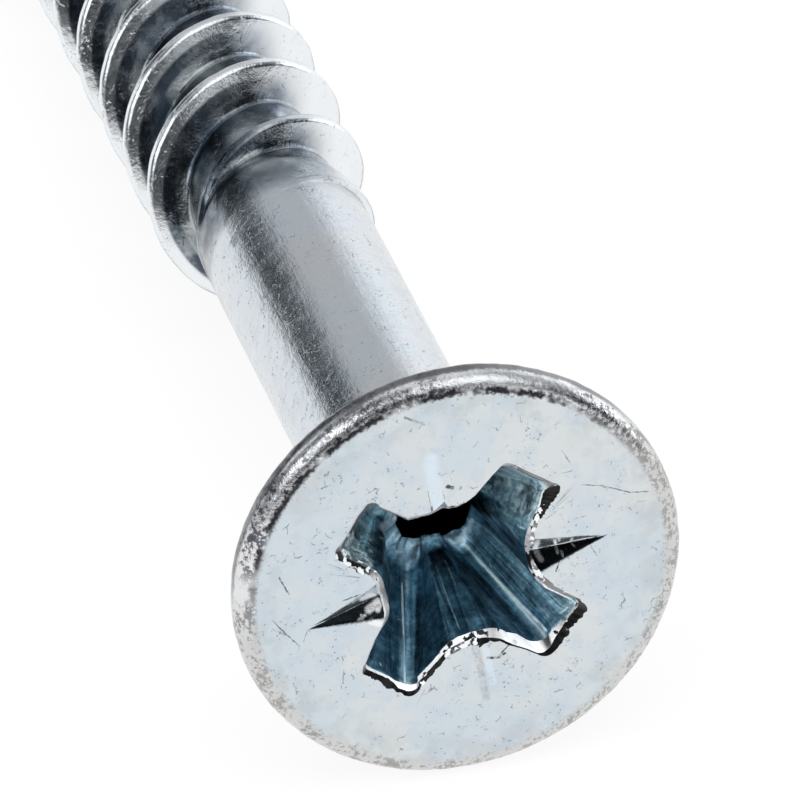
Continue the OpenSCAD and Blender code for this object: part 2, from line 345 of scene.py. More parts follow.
class Rows:
    """Rings of points of the head, with what the material needs to know of each."""

    def __init__(self):
        self.flat, self.zone, self.depth, self.deep, self.lip, self.tone, self.chip = ([] for _ in range(7))

    def add(self, ring, depth, deep=0.0, lip=0.0, tone=1.0, zone=0, chip=0.0):
        self.flat.append(ring)
        self.zone.append(zone)
        held = (self.depth, self.deep, self.lip, self.tone, self.chip)
        for values, value in zip(held, (depth, deep, lip, tone, chip)):
            values.append(np.broadcast_to(value, COLS))


def spread(values):
    """A value for each point or row, in a form that multiplies all of it."""
    return values[:, None]


def build_head():
    """Rings of points from the middle of the hole to the middle of the joint with the shank."""
    rows = Rows()
    steps = np.arange(0, LEDGE_S + 2 * WALL_STEP, WALL_STEP)
    table = np.array([wall_at(d) for d in steps])

    def wall_point(depth):
        """The wall of the recess at a depth given for every column."""
        place_in = np.clip(np.broadcast_to(depth, (COLS,)) / WALL_STEP, 0, len(steps) - 1.001)
        k = place_in.astype(int)
        f = spread(place_in - k)
        cols = np.arange(COLS)
        return table[k, cols] * (1 - f) + table[k + 1, cols] * f

    mouth = wall_at(0.0)
    outward = (wall_at(0.0, 0.1) - mouth) / 0.1
    near = np.linalg.norm(np.roll(mouth, -1, 0) - mouth, axis=1)
    around = np.concatenate([[0], np.cumsum(near)[:-1]])
    actual = np.unwrap(np.arctan2(mouth[:, 1], mouth[:, 0]))
    even = actual[0] + around / near.sum() * 2 * math.pi
    rim_angle = 0.6 * actual + 0.4 * even
    w_out, w_mid, d_mid, w_in, d_in, rag = [by_column(LIPS, k) for k in range(1, 7)]
    outer_tone, inner_tone, chip = [by_column(EDGES, k) for k in range(1, 4)]
    tone_top, tone_low = by_column(TONES, 1), by_column(TONES, 2)

    # The hole at the bottom, painted black as shade, and the rounded ledge round it, with painted shade that
    # is darker next to the hole
    foot = wall_point(LEDGE_S)
    foot_r = np.linalg.norm(foot, axis=1)
    foot_a = np.degrees(np.arctan2(foot[:, 1], foot[:, 0])) % 360
    hole_r = np.minimum(round_about(foot_a, HOLE, 1, 360), foot_r * 0.96)
    window = np.hanning(HOLE_SOFT)[None] / np.hanning(HOLE_SOFT).sum()
    near_by = (spread(np.arange(COLS)) + np.arange(HOLE_SOFT)[None] - HOLE_SOFT // 2) % COLS
    hole_r = (hole_r[near_by] * window).sum(1) + 0.03 * wave(around * 6, 0, 3)
    hole_r = np.minimum(hole_r, foot_r * 0.97)
    hole = foot / spread(foot_r) * spread(hole_r)
    for t, d in ((0.0, HOLE_FLOOR), (0.5, HOLE_FLOOR), (0.8, HOLE_FLOOR - 0.05), (0.93, HOLE_S + 0.25),
                 (0.97, HOLE_S + 0.08), (0.99, HOLE_S + 0.02)):
        rows.add(hole * t, d, 1.0, 0.0, 0.0)
    ledge_tone = round_about(foot_a, LEDGE, 1, 360)
    ledge_rise = HOLE_S - LEDGE_S
    for t in (0.0, 0.25, 0.5, 0.75):
        bump = 0.02 * wave(around * 5, t * 2, 4)
        ring = hole * (1 - t) + wall_point(HOLE_S - ledge_rise * t) * t
        tone = ledge_tone * (0.45 + 0.55 * ease(t * 3)) * (1 - 0.4 * t) + 0.4 * t * tone_low
        rows.add(ring, HOLE_S - ledge_rise * t ** 1.6 + bump, 1.0, 0.0, tone)

    # The walls, from the ledge up to the worn edge, with painted shade that is darker towards the bottom
    for t in 1 - (1 - np.linspace(0, 1, 42)) ** 1.15:
        d = LEDGE_S + (d_in - LEDGE_S) * t
        ring = wall_point(d) + outward * spread(w_in * ease(1 - (d - d_in) / 0.8))
        rough = wave(around * 6, d * 0.7, 5) + 0.25 * wave(around * 17, d * 1.1, 6)
        rough = 0.016 * rough * ease((LEDGE_S - d) * 4) * ease((d - d_in) * 9)
        rows.add(ring + outward * spread(rough), d, 1.0, 0.0, tone_low + (tone_top - tone_low) * t ** 1.4)

    # The worn edge: a steep inner strip, then a ragged outer one, each with its tone of painted reflection
    jag = wave(around * 4, 0, 11) * 0.9 + wave(around * 11, 0, 12) + wave(around * 27, 0, 13) * 0.8
    jag_in = wave(around * 7, 0, 15) * 0.7 + wave(around * 23, 0, 16) * 0.7
    size = np.clip(w_out - w_in, 0.02, 0.15)
    outer = mouth + outward * spread(w_out + 0.36 * size * jag * rag ** 1.3)
    middle = wall_point(d_mid) + outward * spread(w_mid + 0.12 * size * jag_in * rag)
    inner = wall_point(d_in) + outward * spread(w_in)
    for t in (0.02, 0.35, 0.7, 1.0):
        pit = 0.04 * chip * wave(around * 13, t * 2, 17) * (1 if t < 1 else 0.5)
        ring = inner * (1 - t) + middle * t + outward * spread(pit)
        rows.add(ring, d_in + (d_mid - d_in) * t, 0.0, 1.0, inner_tone, chip=chip)
    for t in (0.02, 0.3, 0.65, 0.98):
        pit = 0.06 * chip * size / 0.15 * wave(around * 15, t * 2, 18) * (1 if t < 0.9 else 0)
        ring = middle * (1 - t) + outer * t
        rows.add(ring, np.maximum(d_mid * (1 - t) + pit, 0.0), 0.0, 1.0, outer_tone, chip=chip)

    # The face: a low burr beside the edge, then out to the rim
    burr = 0.012 * ease((noise(around * 3, 0, 0, 19) - 0.35) * 2.5) * (0.4 + 0.6 * np.clip(rag, 0, 1))
    for off, lift in ((0.002, 0.8), (0.015, 1.0), (0.045, 0.5), (0.09, 0.0)):
        rows.add(outer + outward * off, -burr * lift, zone=1)
    last = rows.flat[-1]
    rim_way = np.stack([np.cos(rim_angle), np.sin(rim_angle)], 1)
    target = FACE_RING * rim_way
    for t in np.linspace(0, 1, 30)[1:] ** 1.2:
        rows.add(last * (1 - t) + target * t, 0.0, zone=1)

    # The rim, the cone, the neck and the first of the shank, as radius and distance
    profile = [(r, 0.0) for r in (3.36, 3.46, 3.55, 3.62)]
    for a in np.radians(np.linspace(0, 90, 13)):
        profile.append((HEAD_R - FACE_ROUND + FACE_ROUND * math.sin(a), FACE_ROUND * (1 - math.cos(a))))
    for a in np.radians(np.linspace(0, 45, 4)):
        profile.append((HEAD_R - BACK_ROUND + BACK_ROUND * math.cos(a), RIM_S + BACK_ROUND * math.sin(a)))
    top = np.array(profile[-1])
    foot_s = top[1] + top[0] - SHANK_R
    neck = np.array([SHANK_R + NECK_ROUND, foot_s + NECK_ROUND * math.tan(math.pi / 8)])
    neck_top = neck - NECK_ROUND * math.sqrt(0.5)
    for t in np.linspace(0, 1, 9)[1:]:
        profile.append(tuple(top + (neck_top - top) * t))
    for a in np.radians(np.linspace(45, 0, 6))[1:]:
        profile.append((neck[0] - NECK_ROUND * math.cos(a), neck[1] - NECK_ROUND * math.sin(a)))
    profile += [(SHANK_R, JOIN_S), (0.9, JOIN_S), (0.0, JOIN_S)]
    for r, s in profile:
        rows.add(r * rim_way, s, zone=2)
    flat, depth = np.array(rows.flat), np.array(rows.depth)
    right, up = flat[:, :, 0], flat[:, :, 1]
    zone = spread(np.array(rows.zone))
    radius = np.hypot(right, up)

    # Tick marks, shallow dents and waves on the face
    groove = groove_depth(right, up)
    lip = np.array(rows.lip)
    depth = np.where((zone == 1) | (lip > 0.5), np.maximum(depth, groove), depth)
    waves = 0.007 * wave(right * 1.3, up * 1.3, 21) + 0.003 * wave(right * 4, up * 4, 22)
    depth = depth + np.where(zone == 1, waves * ease((radius - 1.3) * 2) * ease((3.7 - radius) * 4), 0)

    # The rim is a little uneven, never outside its true size
    turn = np.arctan2(up, right)
    uneven = 0.016 * noise(np.cos(turn) * 9, np.sin(turn) * 9, depth * 5, 23)
    uneven = uneven + 0.012 * noise(np.cos(turn) * 30, np.sin(turn) * 30, depth * 14, 24)
    edge = (zone == 2) & (depth < 3.0) & (radius > 3.5)
    scale = np.where(edge, 1 - uneven * ease((radius - 3.5) * 3) / np.maximum(radius, 0.1), 1.0)
    right, up = right * scale, up * scale
    rim = np.where((zone == 2) & (depth < 0.7), ease((radius - 3.6) / 0.14), 0.0)
    # Painted highlights along the lines where two walls meet, on the walls only and fading near the bottom
    crease = np.zeros(COLS)
    for c, bright in CREASES:
        crease = np.maximum(crease, bright * np.clip(1 - np.abs(np.arange(COLS) - c) / 1.1, 0, 1))

    flow = vectors(np.broadcast_to(around, depth.shape), depth, 0 * depth)
    marks = vectors(rows.deep, lip, rim)
    crease = crease[None, :] * np.array(rows.deep) * ease(np.array(rows.tone) * 20) * ease((2.45 - depth) * 4)
    paint = vectors(rows.tone, crease, rows.chip)
    faces = grid_faces(len(rows.flat), COLS, True)
    piece = add_mesh("head", place(right, up, depth), faces, {"marks": marks, "flow": flow, "paint": paint})
    outside = np.arange(len(rows.flat) - 1) >= rows.zone.index(1) - 1
    piece.data.polygons.foreach_set("material_index", np.repeat(outside.astype(np.int32), COLS))
    merge(piece)
    piece.data.set_sharp_from_angle(angle=math.radians(42))
    return piece


# The shank and the thread, in one mesh whose rows follow the thread

def core_at(s):
    """Radius of the core of the thread."""
    narrow = SHANK_R + (CORE_R - SHANK_R) * ease((s - RISE_S - RUN_OUT / 6) / (RUN_OUT / 3))
    point = CORE_R + (TIP_R - CORE_R) * (s - POINT_S) / (LENGTH - POINT_S)
    return np.where(s < POINT_S, narrow, point)


def crest_at(s, rise):
    """Radius of a crest that rises out of the shank at the given distance."""
    t = np.clip((s - POINT_S) / (LENGTH - POINT_S), 0, 1)
    body = SHANK_R - 0.04 + (CREST_R - SHANK_R + 0.04) * ease((s - rise) / RUN_OUT)
    return np.where(t > 0, core_at(s) + (CREST_R - CORE_R) * (1 - t) - 0.04 * ease(2 * t - 1), body)


SHANK_COLS = 168
FIRST_CREST_S = 12.48
FLOW_R = 1.6

# Where the rows lie beside the middle of a crest, on both sides of it, and half way to the crest before
BESIDE = np.array([0.02, 0.05, 0.075, 0.11, 0.16, 0.21, 0.262, 0.31, 0.355, 0.41, 0.48, 0.57, 0.68, 0.8])
OFFSETS = np.concatenate([[-CREST_GAP / 2], -BESIDE[::-1], BESIDE])


def build_shank():
    """Rows of points from the joint with the head to the tip, each one going round along the thread."""
    turn = np.linspace(0, 2 * math.pi, SHANK_COLS + 1)
    numbers = np.arange(-1, 14)
    number = spread(np.repeat(numbers, len(OFFSETS)))
    offset = spread(np.tile(OFFSETS, len(numbers)))
    middle = FIRST_CREST_S + CREST_GAP * number - CREST_GAP * turn[None, :] / math.pi
    s = middle + offset
    odd = number % 2 == 1
    s = np.clip(s, THREAD_S, LENGTH)
    rise = np.where(odd, RISE_S, RISE_S - STAGGER)
    crest = crest_at(np.clip(middle, THREAD_S, LENGTH), rise)
    core = core_at(s)
    flank = crest - np.maximum(np.abs(offset) - CREST_HALF, 0) / FLANK
    soft = 0.07
    gap = np.clip(0.5 + 0.5 * (flank - core) / soft, 0, 1)
    radius = core + (flank - core) * gap + soft * gap * (1 - gap)
    radius = np.where(s >= LENGTH, TIP_R, np.maximum(radius, core))
    radius = np.where(s <= THREAD_S, SHANK_R, radius)
    cx, cy = np.cos(turn)[None, :], np.sin(turn)[None, :]
    rough = noise(cx * 5, cy * 5, s * 3.2, 41) * 0.018
    rough = rough + noise(cx * 13, cy * 13, s * 8, 42) * 0.012
    radius = radius - rough * ease((s - THREAD_S) / 1.2) * ease((LENGTH - s) / 2)

    # The smooth part, from the joint with the head to the first row of the thread
    smooth_s = np.concatenate([[JOIN_S, JOIN_S, JOIN_S], np.linspace(JOIN_S, THREAD_S, 30)[1:-1]])
    smooth_r = np.concatenate([[0.0, 0.9], np.full(len(smooth_s) - 2, SHANK_R)])
    row = np.ones((1, SHANK_COLS + 1))
    s = np.concatenate([spread(smooth_s) * row, s, LENGTH * row])
    radius = np.concatenate([spread(smooth_r) * row, radius, 0 * row])
    flow = vectors(FLOW_R * np.broadcast_to(turn, s.shape), s, radius)
    threaded = ease((s - THREAD_S) / 1.5)
    groove = ease((1.95 - radius) / 0.5) * threaded
    crest = ease((radius - 1.93) / 0.08)
    marks = vectors(groove, crest, threaded)
    faces = grid_faces(s.shape[0], SHANK_COLS + 1, False)
    piece = add_mesh("shank", place(radius * cx, radius * cy, s), faces, {"flow": flow, "marks": marks})
    merge(piece, 1e-7)
    return piece


# Materials

# Scratches and smudges on the face: half width, strength, and the points they run through
SCRATCHES = [
    (0.016, 0.8, [(2.18, 1.51), (2.57, 1.42), (3.02, 1.21), (3.36, 1.17)]),
    (0.014, 0.6, [(1.83, 2.26), (1.97, 1.99)]), (0.02, 0.8, [(-3.22, 0.58), (-3.05, 0.21)]),
    (0.018, 0.8, [(-3.35, -0.27), (-3.2, -0.48), (-2.91, -0.84)]),
    (0.014, 0.7, [(-2.75, -0.58), (-2.82, -0.78)]), (0.02, 0.8, [(-2.11, -0.08), (-1.79, -0.01)]),
    (0.016, 0.61, [(-2.12, -1.49), (-2.14, -1.75)]), (0.02, 0.84, [(-2.42, 2.23), (-2.33, 2.26)]),
    (0.035, 0.61, [(-0.93, 3.38), (-0.6, 3.19)]),
    (0.035, 0.93, [(0.45, -1.69), (0.63, -1.72), (0.76, -1.65)]),
    (0.022, 0.91, [(0.63, -1.7), (0.86, -1.47)]), (0.1, 0.25, [(0.24, -1.45), (0.42, -2.5)]),
    (0.028, 0.8, [(-0.48, 1.26), (-0.49, 1.52)]), (0.012, 0.6, [(-0.5, 1.5), (-0.56, 1.85)]),
    (0.022, 0.9, [(1.77, 0.08), (1.7, -0.15)]), (0.06, 0.93, [(-0.2, 1.88), (-0.13, 1.85)]),
    (0.016, 0.61, [(2.31, 0.28), (2.43, 0.04)])]

# Bright chips in the tick marks and beside them, in the same form
CHIPS = [
    (0.04, 1, [(1.74, 0.25), (1.75, 0.17)]), (0.035, 1, [(1.82, 0.18), (1.83, 0.12)]),
    (0.02, 1, [(1.77, 0.39), (1.77, 0.35)]), (0.03, 0.8, [(2.01, 0.31), (2.04, 0.27)]),
    (0.07, 0.95, [(1.39, 0.21), (1.46, 0.07)]), (0.09, 1, [(-1.63, -0.41), (-1.45, -0.32)]),
    (0.07, 1, [(-1.47, -0.42), (-1.43, -0.36)]), (0.09, 0.75, [(-1.6, -0.6), (-1.47, -0.66)]),
    (0.06, 1, [(-0.74, 1.2), (-0.56, 1.38)]), (0.03, 0.9, [(-0.22, 1.37), (-0.02, 1.31)]),
    (0.035, 1, [(-1.83, -0.54), (-1.7, -0.48)]), (0.03, 1, [(-1.77, -0.47), (-1.74, -0.57)])]

# Where the upper rim has dark grains, partly grain and partly painted reflection, and the bluish reflections
# painted beside the upper and lower tick marks
RIM_SPECKS = [
    (0.9, 1.0, [(-3.7, 1.2), (-3.0, 2.5)]), (0.8, 0.9, [(2.6, 3.0), (3.3, 2.1)]),
    (0.9, 0.75, [(-2.0, 3.4), (-0.7, 3.9)])]
TICK_REFLECTIONS = [(0.19, 0.75, [(-0.34, 1.35), (-0.5, 2.45)]), (0.09, 0.5, [(0.42, -1.5), (0.54, -2.2)])]

# Painted highlights and painted shade on the walls of the recess, in the same form with the depth of each
# point
WALL_LIGHTS = [
    (0.025, 0.8, [(1.1, 0.98, 1.62), (1.19, 1.1, 1.31), (1.37, 1.25, 0.82), (1.46, 1.43, 0.3)]),
    (0.03, 0.45, [(1.02, 0.58, 1.74), (1.08, 0.63, 1.11), (1.13, 0.39, 0.33)]),
    (0.02, 0.5, [(0.99, 0.53, 1.45), (1.05, 0.45, 0.8), (1.12, 0.38, 0.41)]),
    (0.06, 0.5, [(1.23, 0.81, 0.99), (1.24, 0.85, 0.44)]),
    (0.02, 1.0, [(1.15, 0.65, 0.32), (1.2, 0.7, 0.15)]),
    (0.02, 0.45, [(1.01, -0.04, 1.41), (1.11, 0.02, 0.79)]),
    (0.06, 0.6, [(0.86, -0.41, 2.47), (0.74, -0.67, 2.44)]),
    (0.03, 0.45, [(-0.25, -0.75, 2.48), (0.17, -0.66, 2.48), (0.62, -0.72, 2.46)]),
    (0.17, 0.95, [(-0.57, -0.04, 2.49), (-0.62, -0.2, 2.46), (-0.87, -0.03, 1.96)]),
    (0.045, 0.8, [(-1.04, 0.11, 1.52), (-0.56, -0.69, 2.43)]),
    (0.035, 0.6, [(-0.54, -0.76, 2.41), (-0.42, -0.81, 2.43)]),
    (0.02, 0.6, [(-1.96, 0.84, 0.26), (-1.79, 0.76, 0.64)]),
    (0.028, 1.0, [(-0.55, -1.17, 1.99), (-0.72, -1.48, 1.29), (-1.0, -2.02, 0.16)]),
    (0.05, 0.3, [(-0.35, -1.04, 2.32), (-0.48, -1.27, 1.84)]),
    (0.015, 0.8, [(-0.84, -1.41, 1.25), (-0.74, -1.47, 1.28)]),
    (0.02, 0.9, [(-1.41, -1.62, 0.25), (-1.4, -1.64, 0.22)]),
    (0.036, 1.0, [(0.64, -0.75, 2.43), (0.86, -0.97, 1.97), (1.29, -1.27, 0.93), (1.58, -1.49, 0.28)]),
    (0.012, 0.5, [(0.05, -0.88, 1.91), (0.03, -1.21, 0.27)]),
    (0.013, 0.45, [(0.23, -0.83, 1.98), (0.25, -0.96, 1.34)]),
    (0.04, 0.6, [(1.66, -1.42, 0.17), (1.81, -1.25, 0.12)]),
    (0.03, 0.8, [(1.82, -1.15, 0.22), (1.93, -1.04, 0.18)]),
    (0.02, 0.8, [(0.99, -0.94, 1.81), (1.0, -0.97, 1.76)])]
WALL_DARKS = [
    (0.03, 0.6, [(-0.04, -0.9, 1.98), (-0.01, -1.16, 0.55)]),
    (0.03, 0.5, [(0.2, -0.91, 1.62), (0.16, -1.2, 0.22)]),
    (0.05, 0.4, [(1.42, -1.06, 0.98), (1.49, -1.22, 0.68)]),
    (0.06, 0.75, [(0.84, 0.29, 1.98), (0.95, 0.19, 1.38), (1.12, 0.18, 0.55)]),
    (0.05, 0.7, [(-1.53, 0.42, 0.44), (-1.43, 0.34, 0.27)]),
    (0.1, 0.5, [(-1.29, 0.24, 0.55), (-1.07, -0.25, 0.83), (-1.3, -0.31, 0.17)])]

# The relief of the materials, in metres for a height of 1
BUMP_REACH = 0.00001

# Colours, linear: the plating, its marks, painted shade, highlights and reflections, the rim, the walls of
# the recess, and the light
FACE_ZINC, SHANK_ZINC = (0.63, 0.7, 0.75), (0.66, 0.71, 0.76)
REFLECTION_BLUE, SCRATCH_DARK, FACET_DARK = (0.72, 0.84, 0.95), (0.02, 0.025, 0.03), (0.028, 0.034, 0.038)
CHIP_WHITE, BORDER_GREY = (0.98, 0.98, 0.98), (0.42, 0.43, 0.42)
SMUDGE_GREY, SPECK_DARK = (0.3, 0.315, 0.33), (0.15, 0.165, 0.18)
LOW_GRAIN_SHADE, TOP_GRAIN_SHADE = (0.34, 0.33, 0.31), (0.1, 0.1, 0.12)
LOW_RIM, TOP_RIM = (0.64, 0.64, 0.63), (0.84, 0.83, 0.84)
PLAIN_RIM, OUTER_RIM, RIM_LINE = (0.8, 0.8, 0.81), (0.07, 0.07, 0.08), (0.03, 0.03, 0.035)
WALL_BLUE, WALL_GREEN = (0.31, 0.52, 0.67), (0.46, 0.61, 0.63)
WALL_LIGHT, WALL_DARK, WALL_CREASE = (0.72, 0.84, 0.92), (0.02, 0.03, 0.045), (0.86, 1.0, 1.0)
EDGE_WHITE = (0.97, 0.98, 1.0)
GROOVE_SHADE_BLUE, SIDE_SHADE_BLUE = (0.08, 0.11, 0.15), (0.045, 0.065, 0.09)
SIDE_HIGHLIGHT, GLEAM_GREY, CREST_HIGHLIGHT = (0.86, 0.89, 0.91), (0.66, 0.7, 0.69), (0.84, 0.87, 0.9)
STUDIO_LIGHT, STUDIO_DIM = (0.96, 0.98, 1.0), (0.83, 0.94, 1.03)


class Nodes:
    """Short calls for the nodes of one material or of the world."""

    def __init__(self, owner):
        owner.use_nodes = True
        self.owner = owner
        self.tree = owner.node_tree
        self.tree.nodes.clear()

    def put(self, socket, value):
        """Links an output to a socket or sets a plain value; None leaves the socket as it is."""
        if isinstance(value, bpy.types.NodeSocket):
            self.tree.links.new(value, socket)
        elif value is not None:
            socket.default_value = value

    def add(self, kind, inputs=None, out=0, **settings):
        node = self.tree.nodes.new(kind)
        for key, value in settings.items():
            setattr(node, key, value)
        for key, value in (inputs or {}).items():
            self.put(node.inputs[key], value)
        return node.outputs[out] if len(node.outputs) else None

    def math(self, op, a, b=None, c=None, clamp=False):
        """A node of arithmetic: each value is a number or the output of a node."""
        return self.add("ShaderNodeMath", dict(enumerate((a, b, c))), operation=op, use_clamp=clamp)

    def vmath(self, op, a, b=None, c=None, scale=None, out=0):
        """The same with vectors; only the operation SCALE has a scale."""
        return self.add("ShaderNodeVectorMath", dict(enumerate((a, b, c, scale))), out, operation=op)

    def step(self, value, low, high, a=0.0, b=1.0):
        """From a to b with soft ends, as the value goes from low to high."""
        inputs = {"Value": value, "From Min": low, "From Max": high, "To Min": a, "To Max": b}
        return self.add("ShaderNodeMapRange", inputs, interpolation_type="SMOOTHSTEP")

    def mix(self, fac, a, b, kind="MIX"):
        """From colour a to colour b; a plain colour has three parts."""
        a, b = (value + (1.0,) if isinstance(value, tuple) else value for value in (a, b))
        inputs = {"Factor": fac, 6: a, 7: b}
        return self.add("ShaderNodeMix", inputs, 2, data_type="RGBA", blend_type=kind)

    def grey(self, value):
        return self.add("ShaderNodeCombineColor", {0: value, 1: value, 2: value})

    def times(self, a, b):
        return self.math("MULTIPLY", a, b)

    def most(self, a, b):
        return self.math("MAXIMUM", a, b)

    def dot(self, a, b):
        return self.vmath("DOT_PRODUCT", a, b, out=1)

    def spot(self):
        """The place of a point, in millimetres."""
        return self.vmath("SCALE", self.add("ShaderNodeTexCoord", out=3), scale=1000.0)

    def held(self, name):
        """A vector that the points of the mesh hold."""
        return self.add("ShaderNodeAttribute", out=1, attribute_name=name)

    def split(self, name):
        node = self.tree.nodes.new("ShaderNodeSeparateXYZ")
        self.put(node.inputs[0], self.held(name))
        return node.outputs

    def plating(self, colour, metal, rough, height):
        """The material, with a metal with relief of the given height as its surface."""
        bump = self.add("ShaderNodeBump", {"Height": height, "Strength": 1.0, "Distance": BUMP_REACH})
        shader = self.add("ShaderNodeBsdfPrincipled", {
            "Base Color": colour, "Metallic": metal, "Roughness": rough, "Normal": bump})
        self.add("ShaderNodeOutputMaterial", {"Surface": shader})
        return self.owner

    def noise(self, vector, scale, detail=3.0, rough=0.55, out=0):
        inputs = {"Vector": vector, "Scale": scale, "Detail": detail, "Roughness": rough}
        return self.add("ShaderNodeTexNoise", inputs, out=out)

    def cells(self, vector, scale, out=0, **settings):
        inputs = {"Vector": vector, "Scale": scale, "Randomness": 1.0}
        return self.add("ShaderNodeTexVoronoi", inputs, out=out, **settings)

    def stroke(self, spot, points, half_width):
        """How near a point is to a line through the given points: 1 on it, 0 past its half width."""
        total = None
        for a, b in zip(points[:-1], points[1:]):
            a, b = (tuple(p) + (0.0,) * (3 - len(p)) for p in (a, b))
            run = tuple(q - p for p, q in zip(a, b))
            rel = self.vmath("SUBTRACT", spot, a)
            share = self.math("MULTIPLY", self.dot(rel, run), 1 / sum(v * v for v in run), clamp=True)
            gap = self.vmath("DISTANCE", rel, self.vmath("SCALE", run, scale=share), out=1)
            on = self.step(gap, half_width, half_width * 0.35)
            total = on if total is None else self.most(total, on)
        return total


def strokes(n, spot, table):
    """The strongest of many strokes at a point, each as strong as its table says."""
    total = None
    for half_width, strength, points in table:
        on = n.times(n.stroke(spot, points, half_width), strength)
        total = on if total is None else n.most(total, on)
    return total


def dark_facet(n, on_face, tick, half_width, side):
    """How far a point lies inside one side of a tick mark that narrows from its start to its end."""
    start, end = tick[:2]
    run = np.array(end) - np.array(start)
    length = float(np.linalg.norm(run))
    run = run / length
    rel = n.vmath("SUBTRACT", on_face, (*start, 0.0))
    along = n.dot(rel, (*(run / length), 0.0))
    across = n.dot(rel, (-side * run[1], side * run[0], 0.0))
    left = n.math("SUBTRACT", n.math("MULTIPLY_ADD", along, -half_width, half_width), across)
    inside = n.math("MINIMUM", across, left)
    return n.times(n.step(inside, -0.004, 0.012), n.step(along, -0.22, -0.18))


def marks_of_wear(n, spot, colour):
    """Tiny dark specks, short curved strokes and soft smudges, gathered in patches."""
    warp = n.vmath("ADD", spot, n.vmath("SCALE", n.noise(spot, 3.0, 2.0, out=1), scale=0.35))
    where = n.step(n.noise(spot, 1.3, 3.0, 0.6), 0.44, 0.62)
    specks = n.cells(spot, 8.0)
    speck = n.times(n.step(specks, 0.17, 0.06), where)
    cells = n.cells(warp, 3.2, feature="DISTANCE_TO_EDGE")
    piece = n.step(n.noise(spot, 5.0, 2.0, 0.5), 0.58, 0.66)
    line = n.times(n.step(cells, 0.035, 0.008), piece)
    fine = n.cells(warp, 8.5, feature="DISTANCE_TO_EDGE")
    few = n.times(n.step(n.noise(spot, 9.0, 2.0, 0.5), 0.6, 0.68), where)
    hair = n.times(n.step(fine, 0.07, 0.02), few)
    smudge = n.step(n.noise(spot, 7.0, 4.0, 0.65), 0.6, 0.72)
    smudge = n.times(smudge, n.step(n.noise(spot, 0.9, 2.0), 0.5, 0.66))
    colour = n.mix(n.times(smudge, 0.35), colour, SMUDGE_GREY)
    ink = n.most(n.times(speck, 0.8), n.times(n.most(line, hair), 0.65))
    return n.mix(ink, colour, SPECK_DARK), ink


def face_place(n):
    """Points in millimetres, and the same seen from the centre of the face: right, up and depth."""
    spot = n.spot()
    rel = n.vmath("SUBTRACT", spot, tuple(FACE))
    parts = {k: n.dot(rel, tuple(axis)) for k, axis in enumerate((RIGHT, UP, AXIS))}
    seen = n.add("ShaderNodeCombineXYZ", parts)
    return spot, seen


def shaded(tint, *factors):
    """A tint with each of its three parts made darker or lighter."""
    return tuple(part * factor for part, factor in zip(tint, factors))


